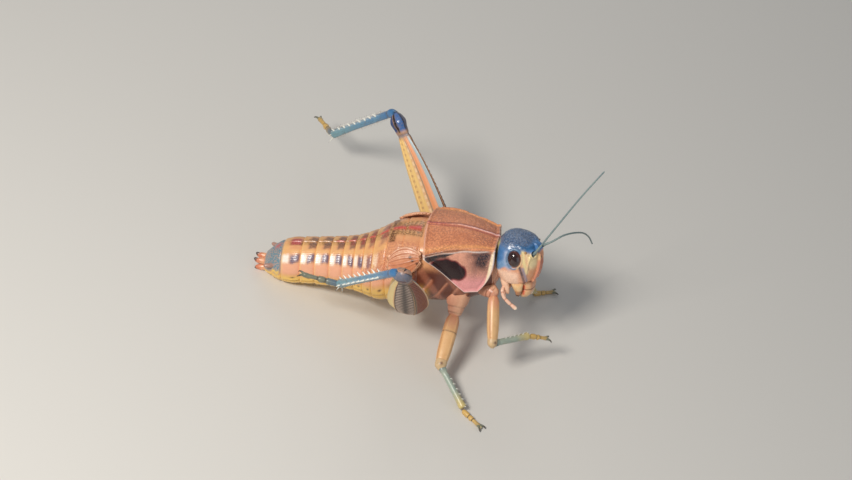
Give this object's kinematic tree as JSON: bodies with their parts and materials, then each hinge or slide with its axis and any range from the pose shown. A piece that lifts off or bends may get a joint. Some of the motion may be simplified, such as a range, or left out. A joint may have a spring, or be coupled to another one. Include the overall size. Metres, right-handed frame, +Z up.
{
  "type": "plains lubber grasshopper",
  "caption": "Life-size adult lubber grasshopper with short wing pads, sitting with both hind knees raised and one foreleg lifted in front of its mouth.",
  "frame": {"origin": "centre of the bounding box's underside, on the floor", "axes": "+X is the way the body points, +Y its left side, +Z up from the floor"},
  "size_m": [0.0646, 0.0678, 0.0464],
  "materials": {
    "pronotum_plate": "finely granular, satin",
    "thorax_shell": "satin",
    "abdomen_shell": "satin",
    "head_shell": "satin",
    "eye_glass": "glossy",
    "mouth_shell": "satin",
    "antenna_shell": "satin",
    "leg_tan": "satin",
    "tibia_grey": "satin",
    "femur_shell": "satin",
    "tibia_blue": "satin",
    "tarsus_shell": "satin",
    "wing_pad": "satin",
    "tail_valve": "satin"
  },
  "bodies": {
    "root": {"abdomen_1": "abdomen_shell", "abdomen_2": "abdomen_shell", "abdomen_3": "abdomen_shell", "abdomen_4": "abdomen_shell", "abdomen_5": "abdomen_shell", "abdomen_6": "abdomen_shell", "abdomen_7": "abdomen_shell", "abdomen_8": "abdomen_shell", "abdomen_tip": "abdomen_shell", "antenna_left": "antenna_shell", "antenna_right": "antenna_shell", "cercus_left": "tail_valve", "cercus_right": "tail_valve", "coxa_fore_left": "thorax_shell", "coxa_fore_right": "thorax_shell", "coxa_hind_left": "thorax_shell", "coxa_hind_right": "thorax_shell", "coxa_mid_left": "thorax_shell", "coxa_mid_right": "thorax_shell", "eye_left": "eye_glass", "eye_right": "eye_glass", "femur_fore_left": "leg_tan", "femur_fore_right": "leg_tan", "femur_hind_left": "femur_shell", "femur_hind_right": "femur_shell", "femur_mid_left": "leg_tan", "femur_mid_right": "leg_tan", "head": "head_shell", "labium": "mouth_shell", "labrum": "mouth_shell", "mandible_left": "mouth_shell", "mandible_right": "mouth_shell", "maxilla_left": "mouth_shell", "maxilla_right": "mouth_shell", "neck": "thorax_shell", "palp_labial_left": "mouth_shell", "palp_labial_right": "mouth_shell", "palp_maxillary_left": "mouth_shell", "palp_maxillary_right": "mouth_shell", "pronotum": "pronotum_plate", "tarsus_fore_left": "tarsus_shell", "tarsus_fore_right": "tarsus_shell", "tarsus_hind_left": "tarsus_shell", "tarsus_hind_right": "tarsus_shell", "tarsus_mid_left": "tarsus_shell", "tarsus_mid_right": "tarsus_shell", "tegmen_left": "wing_pad", "tegmen_right": "wing_pad", "thorax": "thorax_shell", "tibia_fore_left": "tibia_grey", "tibia_fore_right": "tibia_grey", "tibia_hind_left": "tibia_blue", "tibia_hind_right": "tibia_blue", "tibia_mid_left": "tibia_grey", "tibia_mid_right": "tibia_grey", "valve_lower_left": "tail_valve", "valve_lower_right": "tail_valve", "valve_upper_left": "tail_valve", "valve_upper_right": "tail_valve"}
  },
  "joints": []
}
